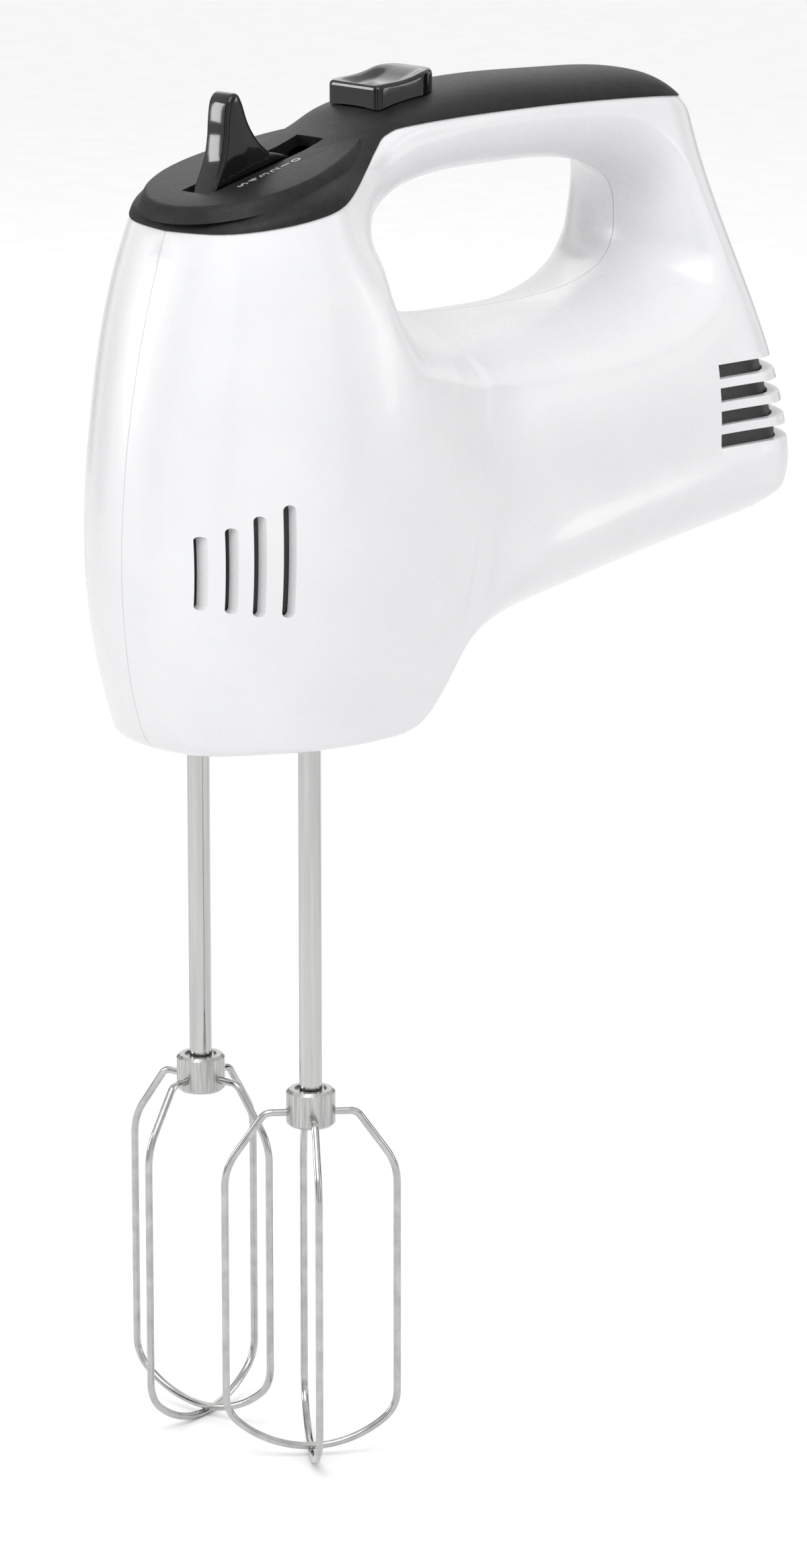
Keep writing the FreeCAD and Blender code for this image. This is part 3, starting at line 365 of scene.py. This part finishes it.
# Outer point, angle of the hole's point, edge radius, reach of the edge, depth of the dish.
STATIONS = [
    ((59, 326.2), 50, 8, 8, 12), ((38, 327.4), 68, 8, 8, 12), ((15, 328.0), 90, 8, 8, 12),
    ((-2, 327.2), 108, 8, 8, 12), ((-15, 326.1), 121, 7, 7, 12), ((-25, 324.0), 131, 6, 6, 13),
    ((-35, 319.6), 141, 6, 6, 14), ((-47, 315.4), 151, 8, 8, 16), ((-60, 311.9), 158, 9, 11, 18),
    ((-71, 308.6), 164, 9, 15, 19), ((-79, 305.4), 169, 7, 24, 20), ((-83.6, 301.4), 173, 3, 34, 20),
    (on_front(290), 177, 0, 42, 20), (on_front(274), 182, 0, 44, 20), (on_front(257), 187, 0, 44, 20),
    (on_front(239), 192, 0, 45, 20), (on_front(221), 197, 0, 45, 20), (on_front(203), 202, 0, 45, 20),
    (on_front(190), 206, 1, 45, 19), ((-91.5, 181.3), 210, 2, 40, 18), ((-87, 178.1), 214, 3, 30, 17),
    ((-76, 177.5), 219, 4, 16, 16), ((-62, 177.3), 224, 4, 8, 15), ((-49, 177.2), 229, 4, 6, 15),
    ((-40.5, 177.7), 233, 4, 6, 15), ((-35.3, 179.6), 237, 5, 7, 15), ((-30.5, 184.5), 241, 8, 10, 14),
    ((-25, 190.5), 245, 12, 14, 14), ((-16, 194.6), 251, 16, 18, 14), ((0, 198.8), 260, 19, 21, 13.5),
    ((21, 202.4), 270, 20, 22, 13), ((45, 206.4), 281, 20, 22, 13), ((68, 210.4), 292, 18, 22, 13),
    ((84, 213.9), 302, 14, 22, 13), ((93, 218.3), 311, 7, 22, 13), ((97.2, 224), 318, 3, 20, 13),
    ((98.5, 231), 325, 0, 18, 13), (on_tail(243), 332, 0, 18, 13), (on_tail(257), 339, 0, 18, 13),
    (on_tail(271), 346, 0, 16, 12), (on_tail(285), 354, 0, 15, 11), (on_tail(299), 2, 0, 13, 9),
    ((79.2, 309.5), 14, 1, 10, 9), ((75.6, 318), 26, 4, 9, 10), ((69, 323.4), 38, 7, 9, 11),
]


def finer_stations():
    """The stations with more between them, along a smooth closed curve through them all."""
    rows = []
    for outer, angle, edge, reach, dish in STATIONS:
        rows.append([*outer, float(angle), float(edge), float(reach), float(dish)])
    count = len(rows)
    turned = 0.0
    for i in range(1, count):
        while rows[i][2] + turned < rows[i - 1][2]:
            turned += 360.0
        rows[i][2] += turned
    made = []
    for i in range(count):
        near = []
        for k in (-1, 0, 1, 2):
            row = list(rows[(i + k) % count])
            row[2] += 360.0 * ((i + k) // count)
            near.append(row)
        for step in range(FINER):
            t = step / FINER
            a, b, c, d = (-t ** 3 + 2 * t ** 2 - t, 3 * t ** 3 - 5 * t ** 2 + 2, -3 * t ** 3 + 4 * t ** 2 + t,
                          t ** 3 - t ** 2)
            mixed = [(a * p + b * q + c * r + d * s) / 2 for p, q, r, s in zip(*near)]
            for k in (3, 4, 5):
                mixed[k] = max(0.0, min(mixed[k], max(near[1][k], near[2][k])))
            made.append(mixed)
    return made


def hole_point(degrees, inset):
    angle = math.radians(degrees)
    x, z = [math.copysign(abs(v) ** (2 / HOLE_POWER), v) for v in (math.cos(angle), math.sin(angle))]
    return HOLE_CENTRE[0] + (HOLE_HALF[0] + inset) * x, HOLE_CENTRE[1] + (HOLE_HALF[1] + inset) * z


def round_off(u, power):
    return 1.0 if u >= 1 else max(0.0, 1 - (1 - max(u, 0.0)) ** power) ** (1 / power)


SEAM_DEPTH, SEAM_HALF = 0.35, 0.16
LEAST_WIDTH = 0.03


def skin_rows(inset, seam=False):
    """Rings of points from the outer outline over the left side to the handle hole."""
    stations = finer_stations()
    count = len(stations)
    rows = [[] for _ in range(OUTER_ROWS + MIDDLE_ROWS + DISH_ROWS + 2)]
    for i, (x, z, angle, edge, reach, dish) in enumerate(stations):
        before, after = stations[i - 1], stations[(i + 1) % count]
        along = Vector((after[0] - before[0], 0, after[1] - before[1])).normalized()
        start = Vector((x - inset * along.z, 0, z + inset * along.x))
        hole_x, hole_z = hole_point(angle, inset)
        spoke = Vector((hole_x, 0, hole_z)) - start
        span = spoke.length
        spoke.normalize()
        edge = max(edge - inset, 1.0) if edge > 0.3 else 0.0
        reach, dish = max(reach - inset, 2.0), max(dish - 0.6 * inset, 2.5)
        shrink = min(1.0, 0.98 * span / (reach + dish))
        reach, dish = reach * shrink, dish * shrink
        edge = min(edge, reach)
        steps = [reach * (1 - math.cos(math.pi / 2 * k / OUTER_ROWS)) for k in range(OUTER_ROWS + 1)]
        middle = span - dish - reach
        steps += [reach + middle * (k + 1) / (MIDDLE_ROWS + 1) for k in range(MIDDLE_ROWS)]
        steps += [span - dish * (1 - math.sin(math.pi / 2 * k / DISH_ROWS)) for k in range(DISH_ROWS + 1)]
        for k, step in enumerate(steps):
            point = start + spoke * step
            width = half_width(point.x, point.z, inset)
            if edge:
                width *= round_off(step / edge, EDGE_POWER)
            width *= round_off((span - step) / dish, DISH_POWER)
            width = 0.0 if k in (0, len(steps) - 1) else max(width, LEAST_WIDTH)
            rows[k].append(Vector((point.x, -width, point.z)))
        if seam:
            rows[0][i] += spoke * SEAM_DEPTH
            rows[-1][i] -= spoke * SEAM_DEPTH
    if seam:
        first, last = [
            [p - (q - p).normalized() * SEAM_DEPTH + Vector((0, -SEAM_HALF, 0)) for p, q in zip(near, far)]
            for near, far in ((rows[0], rows[-1]), (rows[-1], rows[0]))]
        rows = [rows[0], first, *rows[1:-1], last, rows[-1]]
    return rows


def skin_shell(name, outset, look, side, seam=False):
    """A closed half shell: skin, inner skin and the rims that meet the other half."""
    outer, inner = skin_rows(outset, seam), skin_rows(WALL)
    rings = outer + inner[::-1]
    if side > 0:
        rings = [[(p.x, -p.y, p.z) for p in ring] for ring in rings]
    return loft(name, rings, look, closed_tube=True)


# ---------------------------------------------------------------- housing halves
NOSE_SLOTS = [
    (-92, 215.6, 233.0, 1.9), (-87.5, 215.0, 235.2, 2.1),
    (-82.7, 214.2, 238.0, 2.3), (-77, 213.8, 240.4, 2.6),
]
TAIL_SLOT_X, TAIL_SLOT_Z, TAIL_SLOT_PITCH, TAIL_SLOT_HEIGHT = 63.0, 235.6, 5.7, 3.5
TAIL_SLOTS = 4
SLOT_NEAR, SLOT_FAR, BEYOND_TAIL = 10.0, 60.0, 120.0
BEATER_X, HALF_SPACING = -58.0, 20.0
SPINDLE_HOLE, SPINDLE_HOLE_Z = 6.6, (170, 186)
CORD_Z, CORD_HOLE, CORD_HOLE_X = 271.0, 8.7, (80, 110)
REGION_HALF, REGION_END, REGION_TOP = 60, 120, 350
COVER_LINE = [
    (-84.5, 300.8), (-78, 301.8), (-65, 304.2), (-55, 306.6), (-47, 309.6), (-40, 312.9), (-34, 316.6),
    (-29, 319.6), (-22, 321.1), (0, 321.8), (30, 321.7), (60, 320.6), (74, 319.1), (86, 317.3),
]


def through(points, steps=8, closed=False):
    """A smooth run through the points."""
    count = len(points)
    made = []
    for i in range(count if closed else count - 1):
        if closed:
            near = [points[(i + k) % count] for k in (-1, 0, 1, 2)]
        else:
            near = [points[min(max(i + k, 0), count - 1)] for k in (-1, 0, 1, 2)]
        for step in range(steps):
            t = step / steps
            weights = (-t ** 3 + 2 * t ** 2 - t, 3 * t ** 3 - 5 * t ** 2 + 2,
                       -3 * t ** 3 + 4 * t ** 2 + t, t ** 3 - t ** 2)
            made.append(tuple(sum(w * v for w, v in zip(weights, values)) / 2 for values in zip(*near)))
    if not closed:
        made.append(tuple(points[-1]))
    return made


def cover_region():
    """Everything above the line between the white housing and the black cover."""
    line = through(COVER_LINE)
    ends = [(REGION_END, line[-1][1]), (REGION_END, REGION_TOP), (-REGION_END, REGION_TOP)]
    return prism("cover_region", [(-REGION_END, line[0][1])] + line + ends, -REGION_HALF, REGION_HALF)


def mirrored_side(points, side):
    return [(x, side * y, z) for x, y, z in points]


def housing_tools(side):
    """Openings of one half: vents, spindle hole, cord hole and the place of the cover."""
    near, far = side * SLOT_NEAR, side * SLOT_FAR
    tools = []
    for x, base, top, width in NOSE_SLOTS:
        end = width / 2
        tools.append(prism("slot", stadium(x, base + end, x, top - end, end), near, far))
    for k in range(TAIL_SLOTS):
        z = TAIL_SLOT_Z + TAIL_SLOT_PITCH * k
        top = z + TAIL_SLOT_HEIGHT
        outline = [(TAIL_SLOT_X, z), (BEYOND_TAIL, z), (BEYOND_TAIL, top), (TAIL_SLOT_X, top)]
        tools.append(prism("slot", outline, near, far))
    hole = circle(BEATER_X, side * HALF_SPACING, SPINDLE_HOLE)
    tools.append(prism("hole", hole, *SPINDLE_HOLE_Z, axis=2))
    cord = [[(x, y, z) for y, z in circle(0, CORD_Z, CORD_HOLE)] for x in CORD_HOLE_X]
    tools.append(loft("hole", cord, "dark"))
    tools.append(cover_region())
    return tools


HALVES = {"left": -1, "right": 1}
for word, side in HALVES.items():
    shell = carve(skin_shell(word + "_housing_skin", 0.0, "white", side, seam=True), housing_tools(side))
    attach(shell, "housing")
    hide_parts(word + "_housing_shell")


# ---------------------------------------------------------------- cover
PANEL_START, SLOPE = (-72.0, 309.1), 0.25
PANEL_MIDDLE = -57.0
PANEL_HALF = [
    (-82.6, 0), (-81.6, 6.5), (-78.6, 12.6), (-73.5, 17.8), (-66.5, 21.0), (-58.5, 21.6), (-50.5, 19.9),
    (-43, 17.0), (-36, 13.2), (-30.5, 8.0), (-28.2, 0),
]
PANEL_RISE = 0.4
# How far each ring of the panel's edge is spread out and set below the panel.
PANEL_EDGE = [(2.6, 3.0), (1.7, 1.35), (0.8, 0.0), (0.35, -0.3), (0.0, -PANEL_RISE)]
COVER_LIP = 0.3
LEVER_SLOT_X, LEVER_SLOT_LENGTH, LEVER_SLOT_HALF, LEVER_SLOT_REACH = -56.8, 37.4, 4.7, 8
WELL_X, WELL_HALF, WELL_Z = (-25.5, -12.5), 4.2, (315, 335)


def panel_z(x):
    return PANEL_START[1] + SLOPE * (x - PANEL_START[0])


def panel_ring(spread, drop):
    """The panel's outline grown by spread and set drop below the panel."""
    half = []
    for x, y in PANEL_HALF:
        reach = math.hypot(x - PANEL_MIDDLE, y)
        grow = (reach + spread) / reach
        x, y = PANEL_MIDDLE + (x - PANEL_MIDDLE) * grow, y * grow
        half.append((x, y, panel_z(x) - drop))
    return through(half + [(x, -y, z) for x, y, z in half[-2:0:-1]], closed=True)


def whole_skin(name, inset, look):
    rows = [[tuple(p) for p in ring] for ring in skin_rows(inset)]
    rings = rows + [mirrored_side(ring, -1) for ring in rows[-2:0:-1]]
    return loft(name, rings, look, closed_tube=True)


def rectangle(across, up):
    return [(across[0], up[0]), (across[1], up[0]), (across[1], up[1]), (across[0], up[1])]


def lever_slot():
    """A box standing square to the lever panel."""
    turn = math.atan(SLOPE)
    ends = rectangle((-LEVER_SLOT_LENGTH / 2, LEVER_SLOT_LENGTH / 2), (-LEVER_SLOT_REACH, LEVER_SLOT_REACH))
    rings = [[(LEVER_SLOT_X + along * math.cos(turn) - up * math.sin(turn), y,
               panel_z(LEVER_SLOT_X) + along * math.sin(turn) + up * math.cos(turn)) for along, up in ends]
             for y in (-LEVER_SLOT_HALF, LEVER_SLOT_HALF)]
    return loft("slot", rings, "dark")


def top_cover():
    """The black top of the handle and head, a little proud of the white housing, with the raised panel."""
    cover = whole_skin("top_cover_skin", -COVER_LIP, "cover")
    panel = loft("panel", [panel_ring(spread, drop) for spread, drop in PANEL_EDGE], "cover")
    carve(cover, [panel], "UNION")
    carve(cover, [cover_region()], "INTERSECT")
    well = prism("well", rectangle(WELL_X, WELL_Z), -WELL_HALF, WELL_HALF)
    carve(cover, [whole_skin("hollow", WALL, "cover"), lever_slot(), well])
    return cover


cover = top_cover()
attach(cover, "housing")
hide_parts("top_cover")


# ---------------------------------------------------------------- speed lever
LEVER_X, LEVER_Z, LEVER_WIDTH, LEVER_DISC = -56.0, 300.0, 7.4, 16.5
PIN_HOLE = 1.55
FIN = [
    (-73.6, 306.0), (-72.6, 309.0), (-70.9, 312.6), (-69.3, 316.6), (-68.5, 320.8), (-68.2, 325.0),
    (-67.6, 328.9), (-66.2, 330.9), (-64.4, 331.0), (-63.0, 328.8), (-61.4, 324.6), (-59.2, 321.0),
    (-56.2, 317.9), (-52.4, 315.3), (-48.6, 313.0), (-46.0, 306.0), (-50.0, 297.0), (-60.0, 296.0),
    (-69.0, 299.5),
]
LEVER_EDGE, DISC_EDGE, DISC_STEPS, FIN_STEPS = 1.1, 0.5, 96, 6
PIN_HOLE_HALF = 20


def inset_outline(points, distance):
    """Moves an outline of (x, z) points inwards along its own normals."""
    count = len(points)
    turn = sum(a[0] * b[1] - b[0] * a[1] for a, b in zip(points, points[1:] + points[:1]))
    hand = 1 if turn > 0 else -1
    made = []
    for i, (x, z) in enumerate(points):
        before, after = points[i - 1], points[(i + 1) % count]
        dx, dz = after[0] - before[0], after[1] - before[1]
        size = math.hypot(dx, dz) or 1.0
        made.append((x - hand * dz / size * distance, z + hand * dx / size * distance))
    return made


def rounded_plate(name, outline, half, edge, steps=6):
    """An outline of (x, z) points made 2 * half thick across y, with its edges rounded."""
    rings = []
    for side in (-1, 1):
        for k in range(steps + 1):
            angle = math.pi / 2 * (steps - k if side < 0 else k) / steps
            y = side * (half - edge * (1 - math.sin(angle)))
            rings.append([(x, y, z) for x, z in inset_outline(outline, edge * (1 - math.cos(angle)))])
    return loft(name, rings, "gloss")


def speed_lever():
    """The thumb fin on the disc that turns about the pin."""
    fin = rounded_plate("speed_lever_fin", through(FIN, FIN_STEPS, closed=True), LEVER_WIDTH / 2, LEVER_EDGE)
    rim = circle(LEVER_X, LEVER_Z, LEVER_DISC, DISC_STEPS)
    carve(fin, [rounded_plate("lever_disc", rim, LEVER_WIDTH / 2, DISC_EDGE)], "UNION")
    pin = circle(LEVER_X, LEVER_Z, PIN_HOLE)
    return carve(fin, [prism("pin_hole", pin, -PIN_HOLE_HALF, PIN_HOLE_HALF)])


lever = speed_lever()
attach(lever, "speed_lever")
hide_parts("speed_lever")


# ---------------------------------------------------------------- eject button
BUTTON_FRONT, BUTTON_ROUND_X, BUTTON_HALF = -25.5, -12.0, 9.0
BUTTON_TOP = [
    (-27, 329.5), (-23, 330.1), (-18, 330.4), (-14, 331.0), (-10, 332.0), (-6.5, 332.3), (-2, 331.7),
]
BUTTON_RIM = through(BUTTON_TOP)
BUTTON_LAST = 0.3  # half-breadth left at the last ring
BUTTON_GAP = 0.7
STEM_X, STEM_Y, STEM_Z = (-19.0, -13.0), (-3.0, 3.0), (316.4, 328.0)
BUTTON_EDGE, BUTTON_FOOT = 1.2, 317.5
BUTTON_SPINE = (-21.0, -12.0)
BUTTON_CORNER = 1.6
DISH_DEPTH = 1.5
DISH_MARGIN, DISH_SLOPE, DISH_REAR, DISH_REAR_SLOPE, DISH_FRONT_SLOPE = 0.8, 5, -6.5, 9, 5


def button_plan():
    """Half round at the rear, straight sides, small corners and a straight front."""
    half = [(BUTTON_ROUND_X + BUTTON_HALF * math.cos(a), BUTTON_HALF * math.sin(a))
            for a in (math.pi / 2 * (k + 0.5) / 20 for k in range(20))]
    corner_x, corner_y = BUTTON_FRONT + BUTTON_CORNER, BUTTON_HALF - BUTTON_CORNER
    half += [(BUTTON_ROUND_X + (corner_x - BUTTON_ROUND_X) * k / 8, BUTTON_HALF) for k in range(8)]
    half += [(corner_x - BUTTON_CORNER * math.sin(a), corner_y + BUTTON_CORNER * math.cos(a))
             for a in (math.pi / 2 * k / 8 for k in range(9))]
    half += [(BUTTON_FRONT, corner_y * (1 - k / 8)) for k in range(1, 8)]
    return half + [(x, -y) for x, y in half[::-1]]


def eject_button():
    """A cap with a finger dish, clear of the cover below it, on a stem to the slider."""
    plan = button_plan()
    turns = [math.pi / 2 * k / 8 for k in range(9)]
    steps = [(BUTTON_EDGE * (1 - math.cos(a)), BUTTON_EDGE * (1 - math.sin(a))) for a in turns]
    flat = BUTTON_HALF - BUTTON_EDGE - BUTTON_LAST
    steps += [(BUTTON_EDGE + flat * k / 12, 0.0) for k in range(1, 13)]
    rings = [[(x, y, BUTTON_FOOT) for x, y in plan]]
    for inset, drop in steps:
        ring = []
        for x, y in plan:
            middle = min(max(x, BUTTON_SPINE[0]), BUTTON_SPINE[1])
            keep = 1 - inset / BUTTON_HALF
            px, py = middle + (x - middle) * keep, y * keep
            hollow = DISH_DEPTH * smooth((BUTTON_HALF - DISH_MARGIN - abs(py)) / DISH_SLOPE)
            hollow *= smooth((DISH_REAR - px) / DISH_REAR_SLOPE)
            hollow *= smooth((px - BUTTON_FRONT) / DISH_FRONT_SLOPE)
            ring.append((px, py, between(BUTTON_RIM, px) - drop - hollow))
        rings.append(ring)
    cap = loft("eject_button_cap", rings, "gloss", strip_cap=True)
    carve(cap, [whole_skin("cover_clearance", -BUTTON_GAP, "gloss")])
    return carve(cap, [prism("stem", rectangle(STEM_X, STEM_Y), *STEM_Z, axis=2)], "UNION")


button = eject_button()
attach(button, "eject_button")
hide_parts("eject_button")


# ---------------------------------------------------------------- digits by the lever
DIGIT_HEIGHT, DIGIT_DEPTH, DIGIT_Y = 2.8, 0.06, -8.0
DIGIT_TURN, DIGIT_TYPE_SIZE, DIGIT_LAST = math.radians(90.0), 1.35, 5
DIGIT_FIVE_X, DIGIT_NOUGHT_X = -67.2, -50.6
PANEL_TOP_GAP = 0.02


def digit(text, x):
    """A printed figure on the panel, read from behind the mixer."""
    curve = bpy.data.curves.new("dial_digit_" + text, "FONT")
    curve.body, curve.size, curve.extrude = text, DIGIT_HEIGHT * DIGIT_TYPE_SIZE * MM, DIGIT_DEPTH / 2 * MM
    curve.align_x, curve.align_y = "CENTER", "CENTER"
    words = link(bpy.data.objects.new("dial_digit_" + text, curve))
    bpy.context.view_layer.update()
    mesh = bpy.data.meshes.new_from_object(words.evaluated_get(bpy.context.evaluated_depsgraph_get()))
    bpy.data.objects.remove(words)
    flat = Matrix.Translation(Vector((x, DIGIT_Y, panel_z(x) + PANEL_RISE + PANEL_TOP_GAP)) * MM)
    flat = flat @ Matrix.Rotation(-math.atan(SLOPE), 4, "Y") @ Matrix.Rotation(DIGIT_TURN, 4, "Z")
    mesh.transform(flat)
    made = link(bpy.data.objects.new("dial_digit_" + text, mesh))
    mesh.materials.clear()
    paint(made, "print")
    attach(made, "housing")


for k in range(DIGIT_LAST + 1):
    digit(str(k), DIGIT_NOUGHT_X + (DIGIT_FIVE_X - DIGIT_NOUGHT_X) * k / DIGIT_LAST)


# ---------------------------------------------------------------- floor and light
def plane(name, width, height, look):
    mesh = bpy.data.meshes.new(name)
    x, y = width / 2, height / 2
    mesh.from_pydata([(-x, -y, 0), (x, -y, 0), (x, y, 0), (-x, y, 0)], [], [(0, 1, 2, 3)])
    obj = link(bpy.data.objects.new(name, mesh))
    mesh.materials.append(look)
    return obj


FLOOR = material("pale_floor", (0.90, 0.90, 0.905), (0.92, 0.92, 0.925), (0.6, 0.7), (2.0, 0.002))
BLACK = material("black_flag", (0.004, 0.004, 0.004), (0.006, 0.006, 0.006), (0.8, 0.9), (2.0, 0.002))
plane("floor", 16.0, 16.0, FLOOR)


def light(name, azimuth, elevation, distance, width, power, at=Vector((0.0, 0.0, 0.22)), tall=None):
    data = bpy.data.lights.new(name, "AREA")
    data.energy = power
    data.shape = "RECTANGLE"
    data.size, data.size_y = width, tall or width
    place = at + distance * direction(math.radians(azimuth), math.radians(elevation))
    return aim(link(bpy.data.objects.new(name, data)), at, place)


light("key_light", -62, 52, 1.6, 0.9, 11.0)
light("rim_light", 150, 35, 1.8, 1.0, 2.5)
# Two strips that only show as highlights on the glossy and metal parts.
for name, azimuth, elevation, width, power in (("nose_strip", -137.0, 12.0, 0.26, 4.0),
                                               ("side_strip", 38.0, 10.0, 0.16, 1.3)):
    light(name, azimuth, elevation, 1.5, width, power, tall=0.5).visible_diffuse = False
PANEL_DISTANCE, PANEL_HEIGHT = 1.6, 1.7
for azimuth, width in ((-108.0, 0.50), (-60.0, 0.28), (14.0, 0.36), (66.0, 0.62), (108.0, 0.34),
                       (168.0, 0.34), (-166.0, 0.5)):
    flag = plane("dark_panel_%d" % azimuth, width, PANEL_HEIGHT, BLACK)
    centre = Vector((0, 0, 0.35))
    aim(flag, centre, centre + PANEL_DISTANCE * direction(math.radians(azimuth), 0.0))
    flag.visible_camera = flag.visible_shadow = flag.visible_diffuse = False

world = bpy.data.worlds.new("studio")
bpy.context.scene.world = world
world.use_nodes = True
world.node_tree.nodes["Background"].inputs["Color"].default_value = (1.0, 1.0, 1.0, 1.0)
world.node_tree.nodes["Background"].inputs["Strength"].default_value = 1.0
bpy.context.scene.view_settings.view_transform = "Standard"
